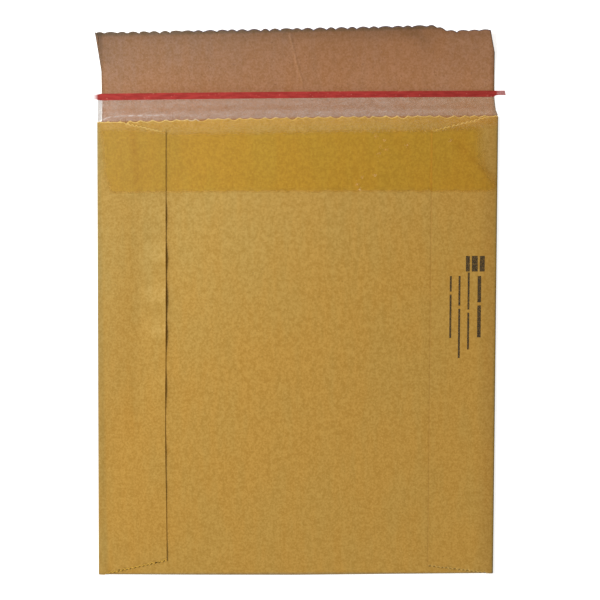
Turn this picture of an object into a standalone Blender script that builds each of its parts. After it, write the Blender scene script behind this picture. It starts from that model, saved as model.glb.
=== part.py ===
"""A rigid board mailer, lying flat with its seam side up and its closure flap open.

The board is one blank. It is drawn flat, creased, folded up at the bottom and over at both
sides, and then thickened. An adhesive band, a clear release film and a red pull strip lie on
it at the mouth. Sizes are in millimetres until a mesh is finished, which turns them to metres.
The origin is the middle of the address panel's outer face, on the surface that it lies on.
+X points to the right as the seam side is seen, +Y to the closure flap and +Z up.
"""

import math

import bmesh
import bpy
from mathutils import Vector

MM = 0.001

# The board
BODY_WIDTH = 241.3
BODY_HEIGHT = 276.0
BOARD = 0.6
FOLD_GAP = 0.3
SEAM_GAP = 0.3
CREASE_RELIEF = 0.5

# How far the back panel bows up off the address panel at the middle of the mouth
GAPE = 8.5

# The closure flap and its out-of-square free edge
FLAP_LENGTH = 55.2
FLAP_INSET = 0.85
FLAP_EDGE_RISE = 3.0
LEFT_FLARE = 1.9
LEFT_FLARE_LENGTH = 19.0
RIGHT_TAPER = 2.1
RIGHT_TAPER_LENGTH = 12.0
CORNER_DIP = 3.2
CORNER_DIP_START = 36.0
CORNER_DIP_LENGTH = 19.0

# The closure flap curls up towards its free edge
FLAP_CURL = 3.0
FLAP_CURL_START = 17.0

# The mouth edge rises a little from left to right
MOUTH_RISE = 1.8

# The side flaps: width, the knee and the tip of the upper edge, and the tip of the lower edge
LEFT_FLAP_WIDTH = 42.0
LEFT_KNEE = (17.0, 1.2)
LEFT_TIP_DROP = 7.4
LEFT_HEEL_RISE = 8.0
RIGHT_FLAP_WIDTH = 39.6
RIGHT_KNEE = (8.5, 1.2)
RIGHT_TIP_DROP = 8.8
RIGHT_HEEL_RISE = 4.8

# The left flap is glued near its fold, and its loose margin has sprung up in waves
GLUED_WIDTH = 24.4
WAVE_LIFT = 1.5
WAVE_PITCH = 24.0
WAVE_CENTRE = 30.0
WAVE_SPREAD = 62.0
WAVE_REST = 0.25

# The knife marks of the cut edges
TOOTH_PITCH = 6.6
TOOTH_DEPTH = 1.6
FINE_PITCH = 2.6
FINE_DEPTH = 0.8

# The adhesive band, measured down from the mouth
BAND_START = 7.6
BAND_HEIGHT = 37.0
BAND_THICKNESS = 0.15
BAND_SIDE_INSET = 1.2

# The release film and the red strip on its free edge
FILM_THICKNESS = 0.15
FILM_REACH = 15.2
FILM_TAIL = 1.0
FILM_SIDE_INSET = 0.5
FILM_FALL_START = 1.5
FILM_FALL = 9.8
FILM_HANG = 0.4
STRIP_WIDTH = 3.4
STRIP_THICKNESS = 0.15
STRIP_RISE = 1.0
STRIP_LEFT_END = 2.4
STRIP_RIGHT_END = 5.6
STRIP_END_SLANT = 1.4

# Clearances between pieces that lie on each other
LAYER_GAP = 0.25
STEP_MARGIN = 0.8
STEP_RAMP = 3.0

# How finely the sheets are creased
PANEL_COLUMN = 2.0 * TOOTH_PITCH
PANEL_ROW = 18.0
CURL_ROW = 6.0
MARGIN_ROW = WAVE_PITCH / 4.0
FOLD_STEPS = 6
FILM_STEPS = 6
TOOTH_STEPS = 4
SNAP = 0.004

# What follows from the sizes above
MOUTH = BODY_HEIGHT / 2.0
BOTTOM_RADIUS = (BOARD + FOLD_GAP) / 2.0
BOTTOM_BEND = math.pi * BOTTOM_RADIUS
BOTTOM_CREASE = -MOUTH + BOTTOM_RADIUS + BOARD / 2.0
BACK_LEVEL = 2.0 * BOTTOM_RADIUS
FLAP_LEVEL = BACK_LEVEL + BOARD + SEAM_GAP
SIDE_RADIUS = FLAP_LEVEL / 2.0
SIDE_BEND = math.pi * SIDE_RADIUS
SIDE_CREASE = BODY_WIDTH / 2.0 - SIDE_RADIUS - BOARD / 2.0
FLAP_HALF_WIDTH = SIDE_CREASE - FLAP_INSET
GLUE_LINE = BODY_WIDTH / 2.0 - GLUED_WIDTH
FLAP_END = MOUTH + FLAP_LENGTH
BAND_LEVEL = BACK_LEVEL + BOARD + LAYER_GAP
FILM_LEVEL = BAND_LEVEL + BAND_THICKNESS + LAYER_GAP
STRIP_LEVEL = FILM_LEVEL + FILM_THICKNESS + LAYER_GAP


class SideFlap:
    """The sizes of one side flap. side is -1 for the left flap and 1 for the right one."""

    def __init__(self, side, width, knee, tip_drop, heel_rise):
        self.side = side
        self.free_edge = BODY_WIDTH / 2.0 - width
        self.knee_x = BODY_WIDTH / 2.0 - knee[0]
        self.knee_y = mouth_line(side * self.knee_x) - knee[1]
        self.tip_y = mouth_line(side * self.free_edge) - tip_drop
        self.heel_y = -MOUTH + heel_rise


def mouth_line(x):
    """The height of the mouth edge at x, without its teeth."""
    return MOUTH + MOUTH_RISE * x / BODY_WIDTH


def smooth(value):
    """A soft step from 0 to 1."""
    value = min(1.0, max(0.0, value))
    return value * value * (3.0 - 2.0 * value)


LEFT_FLAP = SideFlap(-1, LEFT_FLAP_WIDTH, LEFT_KNEE, LEFT_TIP_DROP, LEFT_HEEL_RISE)
RIGHT_FLAP = SideFlap(1, RIGHT_FLAP_WIDTH, RIGHT_KNEE, RIGHT_TIP_DROP, RIGHT_HEEL_RISE)


# Outlines on the flat sheet


def unfolded(x):
    """Where a point of a side flap, seen at x after folding, lies on the flat blank."""
    return 2.0 * SIDE_CREASE + SIDE_BEND - x


def cut_edge(start, end, pitch, depth, tooth):
    """Points from start to end along a toothed cut, without the last one.

    The sheet lies on the left of the way from start to end. tooth gives the depth of the cut
    over one pitch, from 0 on the line to -1 at the bottom of a notch.
    """
    start = Vector(start)
    along = Vector(end) - start
    count = max(1, round(along.length / pitch))
    outward = Vector((along.y, -along.x)).normalized()
    total = count * TOOTH_STEPS
    return [
        start + along * (step / total) + outward * depth * tooth(step / TOOTH_STEPS)
        for step in range(total)
    ]


def round_tooth(phase):
    """A row of round tops with a sharp notch between them."""
    return abs(math.sin(math.pi * phase)) - 1.0


def pointed_tooth(phase):
    """The other side of the same cut: pointed tips with a round hollow between them."""
    return -abs(math.sin(math.pi * phase))


def fine_tooth(phase):
    """A fine triangular tooth."""
    return abs((phase % 1.0) * 2.0 - 1.0) - 1.0


def flap_free_edge():
    """The closure flap's outer edge, from its right corner to its left one."""
    right = FLAP_HALF_WIDTH - RIGHT_TAPER
    left = -FLAP_HALF_WIDTH - LEFT_FLARE
    points = cut_edge((right, FLAP_END), (left, FLAP_END), TOOTH_PITCH, TOOTH_DEPTH, round_tooth)
    points.append(Vector((left, FLAP_END)))
    for point in points:
        dip = smooth((point.x - right + CORNER_DIP_START) / CORNER_DIP_LENGTH)
        point.y += FLAP_EDGE_RISE * point.x / BODY_WIDTH - CORNER_DIP * dip
    return points


def side_flap_outline(flap):
    """A side flap's edge on the flat blank, counterclockwise."""
    knee = Vector((unfolded(flap.knee_x), flap.knee_y))
    tip = Vector((unfolded(flap.free_edge), flap.tip_y))
    heel = Vector((unfolded(flap.free_edge), flap.heel_y))
    root = Vector((SIDE_CREASE, mouth_line(flap.side * SIDE_CREASE) - CREASE_RELIEF))
    foot = Vector((SIDE_CREASE, BOTTOM_CREASE + CREASE_RELIEF))
    ankle = Vector((SIDE_CREASE + SIDE_BEND + FINE_PITCH, foot.y))
    points = [foot]
    points += cut_edge(ankle, heel, FINE_PITCH, FINE_DEPTH, fine_tooth)
    points.append(heel)
    points += cut_edge(tip, knee, FINE_PITCH, FINE_DEPTH, fine_tooth)
    points += [knee, root]
    if flap.side > 0:
        return points
    return [Vector((-point.x, point.y)) for point in reversed(points)]


def far_edge():
    """The back panel's toothed edge on the flat blank, from left to right."""
    left = (-SIDE_CREASE, flat_back(mouth_line(-SIDE_CREASE)))
    right = (SIDE_CREASE, flat_back(mouth_line(SIDE_CREASE)))
    return cut_edge(left, right, TOOTH_PITCH, TOOTH_DEPTH, pointed_tooth) + [Vector(right)]


def blank_outline():
    """The whole blank, drawn flat, counterclockwise from the closure flap's right corner."""
    return [
        *flap_free_edge(),
        Vector((-FLAP_HALF_WIDTH, FLAP_END - LEFT_FLARE_LENGTH)),
        Vector((-FLAP_HALF_WIDTH, mouth_line(-FLAP_HALF_WIDTH))),
        *side_flap_outline(LEFT_FLAP),
        Vector((-SIDE_CREASE, BOTTOM_CREASE)),
        *far_edge(),
        Vector((SIDE_CREASE, BOTTOM_CREASE)),
        *side_flap_outline(RIGHT_FLAP),
        Vector((FLAP_HALF_WIDTH, mouth_line(FLAP_HALF_WIDTH))),
        Vector((FLAP_HALF_WIDTH, FLAP_END - RIGHT_TAPER_LENGTH)),
    ]


def flat_back(y):
    """Where a point of the back panel, seen at height y after folding, lies on the flat blank."""
    return BOTTOM_CREASE - BOTTOM_BEND - (y - BOTTOM_CREASE)


# The folded shape


def bow(x, y):
    """How far the back panel stands above its flat place."""
    across = math.cos(math.pi / 2.0 * min(1.0, abs(x) / SIDE_CREASE))
    along = min(1.0, max(0.0, (y - BOTTOM_CREASE) / (MOUTH - BOTTOM_CREASE)))
    return GAPE * across * (1.0 - (1.0 - along) ** 2)


def flap_curl(y):
    """How far the closure flap stands above the surface that the mailer lies on."""
    start = MOUTH + FLAP_CURL_START
    return FLAP_CURL * max(0.0, (y - start) / (FLAP_END - start)) ** 2


def margin_lift(x, y):
    """How far the left flap's loose margin stands above its glued place."""
    loose = LEFT_FLAP_WIDTH - GLUED_WIDTH
    reach = (-x - LEFT_FLAP.free_edge) / loose
    if reach >= 1.0:
        return 0.0
    swell = math.exp(-(((y - WAVE_CENTRE) / WAVE_SPREAD) ** 2))
    wave = 0.5 + 0.5 * math.cos(2.0 * math.pi * (y - WAVE_CENTRE) / WAVE_PITCH)
    held = smooth((MOUTH - BAND_START - BAND_HEIGHT - y) / WAVE_PITCH)
    return WAVE_LIFT * held * swell * (WAVE_REST + (1.0 - WAVE_REST) * wave) * (1.0 - reach) ** 2


def fold_side(u, y):
    """The middle of the board at a point of a side flap, from the flat blank's place."""
    side = math.copysign(1.0, u)
    run = abs(u) - SIDE_CREASE
    if run < SIDE_BEND:
        angle = run / SIDE_RADIUS
        x = side * (SIDE_CREASE + SIDE_RADIUS * math.sin(angle))
        return x, y, SIDE_RADIUS * (1.0 - math.cos(angle))
    x = side * (SIDE_CREASE + SIDE_BEND - run)
    lift = margin_lift(x, y) if side < 0 else 0.0
    return x, y, FLAP_LEVEL + bow(x, y) + lift


def fold_bottom(x, v):
    """The middle of the board in the bottom fold or the back panel."""
    run = BOTTOM_CREASE - v
    if run < BOTTOM_BEND:
        angle = run / BOTTOM_RADIUS
        y = BOTTOM_CREASE - BOTTOM_RADIUS * math.sin(angle)
        return x, y, BOTTOM_RADIUS * (1.0 - math.cos(angle))
    y = BOTTOM_CREASE + run - BOTTOM_BEND
    return x, y, BACK_LEVEL + bow(x, y)


def fold_blank(u, v):
    """The middle of the folded board at a point of the flat blank."""
    if v < BOTTOM_CREASE:
        x, y, z = fold_bottom(u, v)
    elif abs(u) > SIDE_CREASE and v < MOUTH + FLAP_CURL_START:
        x, y, z = fold_side(u, v)
    else:
        x, y, z = u, v, flap_curl(v)
    return x, y, z + BOARD / 2.0


def flap_cover(x, y):
    """1 where a layer lies on a side flap, 0 where it lies on the back panel."""
    flap = RIGHT_FLAP if x > 0 else LEFT_FLAP
    inside = min(abs(x) - flap.free_edge, upper_edge(flap, abs(x)) - y)
    return smooth((inside + STEP_MARGIN + STEP_RAMP) / STEP_RAMP)


def upper_edge(flap, x):
    """The height of a side flap's upper edge at a distance x from the middle."""
    slope = (flap.knee_y - flap.tip_y) / (flap.knee_x - flap.free_edge)
    return flap.tip_y + slope * (x - flap.free_edge)


def layer(level, thickness):
    """The fold function of a thin layer that lies over the mouth end of the folded board.

    Past the mouth it falls to the closure flap, and hangs a little higher in the middle.
    """

    def place(x, y):
        held = level + bow(x, min(y, MOUTH)) + (BOARD + SEAM_GAP) * flap_cover(x, y)
        fallen = level - FILM_LEVEL + BOARD + LAYER_GAP + FILM_HANG * bow(x, MOUTH)
        down = smooth((y - mouth_line(x) - FILM_FALL_START) / FILM_FALL)
        return x, y, held + (fallen - held) * down + thickness / 2.0

    return place


# Making the solids


def sheet_from(outline):
    """A flat sheet with this outline, as one face that looks up."""
    sheet = bmesh.new()
    face = sheet.faces.new([sheet.verts.new((point.x, point.y, 0.0)) for point in outline])
    face.normal_update()
    if face.normal.z < 0.0:
        face.normal_flip()
    return sheet


def crease(sheet, point, normal, where=None):
    """Splits the sheet along a line. where picks the faces by their middle."""
    faces = [face for face in sheet.faces if where is None or where(face.calc_center_bounds())]
    edges = {edge for face in faces for edge in face.edges}
    corners = {corner for face in faces for corner in face.verts}
    bmesh.ops.bisect_plane(
        sheet,
        geom=[*corners, *edges, *faces],
        dist=SNAP,
        plane_co=(point[0], point[1], 0.0),
        plane_no=(normal[0], normal[1], 0.0),
    )


def spread(low, high, step):
    """Evenly spaced places strictly between low and high, about a step apart."""
    count = max(1, round((high - low) / step))
    return [low + (high - low) * index / count for index in range(1, count)]


def crease_blank(sheet):
    """The folds of the blank, and the lines that let its panels bow."""
    for step in range(FOLD_STEPS + 1):
        u = SIDE_CREASE + SIDE_BEND * step / FOLD_STEPS
        crease(sheet, (u, 0.0), (1.0, 0.0))
        crease(sheet, (-u, 0.0), (1.0, 0.0))
        crease(sheet, (0.0, BOTTOM_CREASE - BOTTOM_BEND * step / FOLD_STEPS), (0.0, 1.0))
    for x in spread(-SIDE_CREASE, SIDE_CREASE, PANEL_COLUMN):
        crease(sheet, (x, 0.0), (1.0, 0.0), on_panels)
    rows = spread(BOTTOM_CREASE, MOUTH, PANEL_ROW)
    for y in rows:
        crease(sheet, (0.0, y), (0.0, 1.0))
        crease(sheet, (0.0, flat_back(y)), (0.0, 1.0))
    below_teeth = MOUTH - TOOTH_DEPTH - MOUTH_RISE
    crease(sheet, (0.0, flat_back(below_teeth)), (0.0, 1.0))
    curl = spread(MOUTH + FLAP_CURL_START, FLAP_END, CURL_ROW)
    for y in (below_teeth, MOUTH + FLAP_CURL_START, *curl):
        crease(sheet, (0.0, y), (0.0, 1.0), on_panels)
    for flap in (LEFT_FLAP, RIGHT_FLAP):
        crease_side_flap(sheet, flap)
    for low, high in zip(rows, rows[1:]):
        for y in spread(low, high, MARGIN_ROW):
            crease(sheet, (0.0, y), (0.0, 1.0), on_loose_margin)


def crease_side_flap(sheet, flap):
    """The columns that let a side flap follow the back panel."""

    def on_flap(middle):
        return middle.x * flap.side > SIDE_CREASE + SIDE_BEND

    columns = spread(GLUE_LINE, SIDE_CREASE, PANEL_COLUMN)
    for x in (*columns, GLUE_LINE, (GLUE_LINE + flap.free_edge) / 2.0):
        crease(sheet, (flap.side * unfolded(x), 0.0), (1.0, 0.0), on_flap)


def on_loose_margin(middle):
    """The part of the left flap that isn't glued down."""
    return -middle.x > unfolded(GLUE_LINE)


def on_panels(middle):
    """The address panel, the closure flap and the back panel."""
    return abs(middle.x) < SIDE_CREASE


def finish_solid(name, sheet, place, thickness, material):
    """Folds a creased sheet, gives it its thickness and adds it to the scene."""
    for corner in sheet.verts:
        corner.co = Vector(place(corner.co.x, corner.co.y)) * MM
    mesh = bpy.data.meshes.new(name)
    sheet.to_mesh(mesh)
    sheet.free()
    mesh.materials.append(material)
    mesh.shade_smooth()
    mesh.set_sharp_from_angle(angle=math.radians(40.0))
    solid = bpy.data.objects.new(name, mesh)
    bpy.context.scene.collection.objects.link(solid)
    thicken = solid.modifiers.new("thickness", "SOLIDIFY")
    thicken.thickness = thickness * MM
    thicken.offset = 0.0
    thicken.use_even_offset = True
    return solid


def paint(name, colour, roughness):
    """A plain material. colour is linear red, green and blue."""
    material = bpy.data.materials.new(name)
    material.use_nodes = True
    shader = material.node_tree.nodes["Principled BSDF"]
    shader.inputs["Base Color"].default_value = (*colour, 1.0)
    shader.inputs["Roughness"].default_value = roughness
    shader.inputs["Metallic"].default_value = 0.0
    return material


def make_blank():
    """The folded board: address panel, back panel, side flaps and closure flap."""
    sheet = sheet_from(blank_outline())
    crease_blank(sheet)
    kraft = paint("kraft board", (0.49, 0.29, 0.07), 0.85)
    return finish_solid("kraft_blank", sheet, fold_blank, BOARD, kraft)


def crease_layer(sheet):
    """Columns that follow the bow, and the lines where a layer steps up onto a side flap."""
    for x in spread(-SIDE_CREASE, SIDE_CREASE, PANEL_COLUMN):
        crease(sheet, (x, 0.0), (1.0, 0.0))
    for y in (MOUTH, MOUTH - BAND_START - BAND_HEIGHT / 2.0):
        crease(sheet, (0.0, y), (0.0, 1.0))
    for flap in (LEFT_FLAP, RIGHT_FLAP):
        crease_step(sheet, flap)


def crease_step(sheet, flap):
    """The lines along which a layer climbs a side flap's free edge and upper edge."""

    def near(middle):
        on_side = middle.x * flap.side > flap.free_edge - STEP_MARGIN - STEP_RAMP
        return on_side and middle.y < MOUTH

    slope = (flap.knee_y - flap.tip_y) / (flap.knee_x - flap.free_edge)
    for fraction in (0.0, 0.25, 0.5, 0.75, 1.0):
        away = STEP_MARGIN + STEP_RAMP * fraction
        crease(sheet, (flap.side * (flap.free_edge - away), 0.0), (1.0, 0.0))
        point = (flap.side * flap.free_edge, flap.tip_y + away)
        crease(sheet, point, (-flap.side * slope, 1.0), near)


def make_band():
    """The adhesive band across the back panel and both side flaps."""
    half = BODY_WIDTH / 2.0 - BAND_SIDE_INSET
    low = MOUTH - BAND_START - BAND_HEIGHT
    left_top = mouth_line(-half) - BAND_START
    right_top = mouth_line(half) - BAND_START
    sheet = sheet_from([
        Vector((-half, low)),
        Vector((half, low)),
        Vector((half, right_top)),
        Vector((-half, left_top)),
    ])
    crease_layer(sheet)
    glue = paint("tacky adhesive", (0.45, 0.24, 0.03), 0.25)
    place = layer(BAND_LEVEL, BAND_THICKNESS)
    return finish_solid("adhesive_band", sheet, place, BAND_THICKNESS, glue)


def strip_line(x):
    """The height of the pull strip's middle at x."""
    return MOUTH + FILM_REACH - STRIP_WIDTH / 2.0 + STRIP_RISE * x / BODY_WIDTH


def make_film():
    """The clear release film over the band, reaching out past the mouth."""
    half = BODY_WIDTH / 2.0 - FILM_SIDE_INSET
    low = MOUTH - BAND_START - BAND_HEIGHT - FILM_TAIL
    reach = STRIP_WIDTH / 2.0
    sheet = sheet_from([
        Vector((-half, low)),
        Vector((half, low)),
        Vector((half, strip_line(half) + reach)),
        Vector((-half, strip_line(-half) + reach)),
    ])
    crease_layer(sheet)
    for step in range(FILM_STEPS + 1):
        fall = FILM_FALL_START + FILM_FALL * step / FILM_STEPS
        crease(sheet, (0.0, MOUTH + fall), (-MOUTH_RISE / BODY_WIDTH, 1.0))
    clear = paint("clear film", (0.8, 0.8, 0.8), 0.1)
    clear.node_tree.nodes["Principled BSDF"].inputs["Alpha"].default_value = 0.25
    place = layer(FILM_LEVEL, FILM_THICKNESS)
    return finish_solid("release_film", sheet, place, FILM_THICKNESS, clear)


def make_strip():
    """The red strip on the film's free edge, with both ends standing out past the board."""
    left = -BODY_WIDTH / 2.0 - STRIP_LEFT_END
    right = BODY_WIDTH / 2.0 + STRIP_RIGHT_END
    half = STRIP_WIDTH / 2.0
    sheet = sheet_from([
        Vector((left, strip_line(left) - half)),
        Vector((right, strip_line(right) - half)),
        Vector((right - STRIP_END_SLANT, strip_line(right) + half)),
        Vector((left, strip_line(left) + half)),
    ])
    for x in spread(-SIDE_CREASE, SIDE_CREASE, PANEL_COLUMN):
        crease(sheet, (x, 0.0), (1.0, 0.0))
    for side in (-1.0, 1.0):
        crease(sheet, (side * SIDE_CREASE, 0.0), (1.0, 0.0))
    red = paint("red strip", (0.45, 0.03, 0.02), 0.35)
    place = layer(STRIP_LEVEL, STRIP_THICKNESS)
    return finish_solid("pull_strip", sheet, place, STRIP_THICKNESS, red)


def main():
    for old in list(bpy.data.objects):
        bpy.data.objects.remove(old)
    mailer = bpy.data.objects.new("mailer", None)
    bpy.context.scene.collection.objects.link(mailer)
    for piece in (make_blank(), make_band(), make_film(), make_strip()):
        piece.parent = mailer


main()
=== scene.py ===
"""The looks of a rigid board mailer with a self-seal band, its release film and a red strip.

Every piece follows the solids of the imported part, so the sizes here repeat the part's own.
They are in millimetres until a mesh is made, which turns them to metres.
"""

import math
import random

import bmesh
import bpy
from mathutils import Matrix, Vector, noise


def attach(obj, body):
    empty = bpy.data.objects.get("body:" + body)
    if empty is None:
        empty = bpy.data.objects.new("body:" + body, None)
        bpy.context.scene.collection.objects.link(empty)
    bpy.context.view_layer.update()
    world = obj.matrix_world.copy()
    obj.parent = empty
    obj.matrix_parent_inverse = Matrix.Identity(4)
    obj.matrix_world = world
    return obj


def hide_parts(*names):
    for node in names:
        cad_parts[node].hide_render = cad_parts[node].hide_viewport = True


bl_info = {
    "name": "Rigid mailer",
    "version": (1, 0, 0),
    "blender": (4, 5, 0),
    "location": "View3D > Sidebar > Mailer",
    "description": "A kraft board mailer with an open closure flap",
    "category": "Add Mesh",
}

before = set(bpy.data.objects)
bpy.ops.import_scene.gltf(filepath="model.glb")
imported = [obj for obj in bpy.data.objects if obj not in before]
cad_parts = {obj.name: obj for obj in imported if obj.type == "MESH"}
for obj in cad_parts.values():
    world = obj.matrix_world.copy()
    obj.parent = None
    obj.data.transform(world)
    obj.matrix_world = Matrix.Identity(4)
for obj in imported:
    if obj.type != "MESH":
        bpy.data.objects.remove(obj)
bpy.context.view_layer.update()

MM = 0.001

# The board, as in the part's source, apart from the closure flap's outline and the left
# flap's heel, which are a little closer to the photo
BODY_WIDTH = 241.3
BODY_HEIGHT = 276.0
BOARD = 0.6
FOLD_GAP = 0.3
SEAM_GAP = 0.3
CREASE_RELIEF = 0.5
GAPE = 8.5
FLAP_LENGTH = 55.2
FLAP_LEFT = 117.85
FLAP_RIGHT = 119.35
FLAP_ROOT_RIGHT = 120.3
FLAP_ROOT_LENGTH = 12.5
FLAP_EDGE_RISE = 4.2
FLAP_EDGE_DROP = 1.3
LEFT_FLARE = 3.4
LEFT_FLARE_LENGTH = 26.5
RIGHT_TAPER = 2.6
RIGHT_TAPER_LENGTH = 16.0
CORNER_DIP = 3.2
CORNER_DIP_START = 36.0
CORNER_DIP_LENGTH = 13.0
MOUTH_RISE = 1.8
FLAP_CURL = 3.0
FLAP_CURL_START = 17.0
GLUED_WIDTH = 24.4
TOOTH_PITCH = 6.6
TOOTH_DEPTH = 1.6
FINE_PITCH = 2.6
FINE_DEPTH = 0.8

# How deep the toothed edges are beside TOOTH_DEPTH, and how uneven from tooth to tooth
FREE_TOOTH_SHARE = 0.58
FREE_UNEVEN = 0.45
FAR_TOOTH_SHARE = 0.8
FAR_UNEVEN = 0.5
FINE_UNEVEN = 0.25
WIDTH_UNEVEN = 0.4

# The adhesive band, the film and the strip, as in the part's source, apart from the strip's
# slope and lift. A layer is this thick, and lies this far above the one below it.
LAYER = 0.15
LAYER_GAP = 0.25
BAND_START = 7.6
BAND_HEIGHT = 37.0
BAND_SIDE_INSET = 1.2
FILM_REACH = 15.2
FILM_TAIL = 1.0
FILM_SIDE_INSET = 0.5
FILM_FALL_START = 1.5
FILM_FALL = 9.8
FILM_HANG = 0.4
STRIP_WIDTH = 3.4
STRIP_RISE = 1.4
STRIP_LIFT = 0.35
STRIP_LEFT_END = 2.4
STRIP_RIGHT_END = 5.6

# Half of the strip's seen width at its middle, and how far the band's mesh reaches past the
# band, where the glue fades out
STRIP_HALF = 1.92
BAND_BELOW = 0.8
BAND_ABOVE = 2.6

# How the layers climb a side flap, steeply at its free edge and softly at its upper edge:
# how far before the edge the climb ends, and how long it is
FREE_STEP = (0.15, 0.6)
UPPER_STEP = (0.4, 2.4)

# How finely the looks are meshed: the widths of columns and rows, and counts of steps
COLUMN = TOOTH_PITCH / 2.0
FRONT_ROW = 17.0
BACK_ROW = 3.4
FLAP_ROW = 1.7
SIDE_ROW = 2.4
MARGIN_COLUMN = 1.8
FOLD_STEPS = 10
TOOTH_STEPS = 8
BAND_COLUMN = 2.0
BAND_ROWS = 40
FILM_COLUMN = 1.0
FILM_ROWS = 80
STRIP_COLUMN = 1.5
STRIP_ROWS = 4
BAR_COLUMN = 1.0
BAR_ROW = 2.0
SNAP = 0.002
SHARP_ANGLE = 40.0

# Closer columns: in the layers at a side flap's free edge, in the board beside the left
# flap's free edge, and at the free edge itself
STEP_COLUMNS = (-0.9, -0.75, -0.6, -0.45, -0.3, -0.15, 0.0, 0.4, 0.8)
GAP_COLUMNS = (-0.6, -0.2, 0.1, 0.4, 0.7, 1.0, 1.4, 1.9, 2.6, 3.5, 4.5)
EDGE_COLUMNS = (0.5, 1.0)

# The worn edge of the cut board: how far it runs into the face and out past the outline, and
# the most that it takes of a line of the mesh
EDGE_INWARD = 0.3
EDGE_OUTWARD = 0.12
EDGE_SHARE = 0.4

# The side flaps' free edges are cut clean, out to this far from them
CLEAN_EDGE_INWARD = 0.04
CLEAN_RUN = 0.3

# The slit between a side flap's foot and the bottom fold
FOOT_SLIT = 0.4

# The board's own waves: how high, and over how many millimetres
BROAD_WAVE = (0.25, 60.0)
SMALL_WAVE = (0.1, 22.0)
CLOSURE_WAVE = 0.55

# How far the closure flap's outer corners lift, and how its last millimetres curl up
LEFT_CORNER_LIFT = 1.3
RIGHT_CORNER_LIFT = 1.2
END_CURL = 0.02
END_CURL_RUN = 9.0

# What follows from the sizes above
HALF_BODY = BODY_WIDTH / 2.0
MOUTH = BODY_HEIGHT / 2.0
BOTTOM_RADIUS = (BOARD + FOLD_GAP) / 2.0
BOTTOM_BEND = math.pi * BOTTOM_RADIUS
BOTTOM_CREASE = -MOUTH + BOTTOM_RADIUS + BOARD / 2.0
BACK_LEVEL = 2.0 * BOTTOM_RADIUS
FLAP_LEVEL = BACK_LEVEL + BOARD + SEAM_GAP
SIDE_RADIUS = FLAP_LEVEL / 2.0
SIDE_BEND = math.pi * SIDE_RADIUS
SIDE_CREASE = HALF_BODY - SIDE_RADIUS - BOARD / 2.0
FLAP_END = MOUTH + FLAP_LENGTH
GLUE_LINE = HALF_BODY - GLUED_WIDTH
BAND_LEVEL = BACK_LEVEL + BOARD + LAYER_GAP
FILM_LEVEL = BAND_LEVEL + LAYER + LAYER_GAP
STRIP_LEVEL = FILM_LEVEL + LAYER + LAYER_GAP
BAND_BOTTOM = MOUTH - BAND_START - BAND_HEIGHT

# The waves of the left flap's loose margin: place along the edge, lift and half length. The
# press holds the margin down between them. The run is how fast they die out inwards.
WAVES = (
    (79.1, 0.7, 8.0),
    (53.7, 1.15, 8.0),
    (29.6, 1.35, 8.5),
    (7.8, 1.2, 8.0),
    (-25.0, 0.8, 9.0),
    (-64.0, 0.4, 11.0),
    (-84.8, 0.3, 6.5),
    (-126.6, 0.3, 8.0),
)
WAVE_PRESS = 0.27
WAVE_RUN = 1.4

# How far above each wave its painted highlight lies, on the side that faces the lamp
CREST_SHIFT = 3.0

# How far the right fold leans outwards at the mouth, how far up the mouth edge lies and how
# far down the bottom fold lies, and the heights where those two shifts begin
LEAN = 1.1
HIGH_START = 60.0
LOW_START = 20.0
MOUTH_SHIFT = ((-125.0, -0.7), (0.0, 0.3), (125.0, 0.85))
BOTTOM_DROP = (
    (-125.0, 1.5), (-110.0, 1.5), (-60.0, 1.45), (0.0, 1.2), (60.0, 0.3), (110.0, -0.4),
    (125.0, -0.6),
)

# The left flap's free edge bends outwards: height of the bend, half length, half width, depth
FREE_EDGE_BEND = (-50.0, 45.0, 8.0, 0.67)

# A low ridge along the glue line of the left flap
RIDGE = (-99.6, 1.5, 0.22)

# Creases of the closure flap: their line, half width, height and how strongly a highlight is painted
# along them
FLAP_CREASES = (
    (((-3.7, 188.3), (0.5, 170.2), (4.2, 158.2)), 0.6, 0.35, 0.55),
    (((80.7, 189.2), (104.7, 181.9)), 3.0, 0.8, 0.25),
    (((-92.0, 187.0), (-40.0, 184.0)), 5.0, 0.2, 0.0),
)

# Creases of the film past the mouth: their line, half width, height and how strongly a white glint is
# painted on them
FILM_CREASES = (
    (((-116.3, 137.9), (-112.6, 139.6), (-100.3, 139.9), (-78.2, 139.9)), 0.5, 0.25, 0.7),
    (((-78.2, 139.9), (-60.0, 140.3)), 0.5, 0.2, 0.3),
    (((-60.0, 140.4), (-21.4, 140.7), (32.5, 141.2)), 0.6, 0.15, 0.12),
    (((70.3, 143.0), (112.5, 143.9)), 0.6, 0.15, 0.15),
)

# The most that creases and bubbles raise the film, and the most glint that is painted on them
RIPPLE_MOST = 0.4
GLINT_MOST = 0.9

# The upper edge of the wetted board under the band
WET_EDGE = (
    (-125.0, 133.0), (-118.8, 133.0), (-100.3, 132.6), (-77.6, 129.6), (2.6, 129.7),
    (81.1, 130.5), (89.5, 131.2), (110.7, 132.5), (125.0, 132.5),
)

# How far out the wetted board reaches on the left and the right flap, by its height
WET_LEFT = ((80.0, 112.0), (95.0, 112.5), (105.0, 115.5), (131.0, 117.5), (140.0, 117.5))
WET_RIGHT = ((80.0, 122.0), (97.0, 120.5), (110.0, 110.5), (135.0, 109.5), (140.0, 109.5))

# Dark smears and streaks on the board, and in the last two rows painted shade where a fold of the
# closure flap dips and its corner curls away from the lamp: their line, half width and how dark they
# are
SMEARS_AND_SHADE = (
    (((95.6, 122.8), (107.7, 110.9), (119.9, 98.9)), 2.4, 0.45),
    (((67.0, 10.4), (68.2, 10.4)), 2.0, 0.3),
    (((-97.4, 129.0), (-96.2, 94.0)), 2.2, 0.65),
    (((-101.5, 84.0), (-101.0, -48.0)), 5.5, 0.34),
    # The last two rows are painted shade, at a fold of the closure flap and at its curled corner
    (((68.0, 189.5), (77.0, 183.5)), 4.5, 0.5),
    (((-118.0, 186.0), (-114.5, 174.0)), 3.0, 0.5),
)
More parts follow.
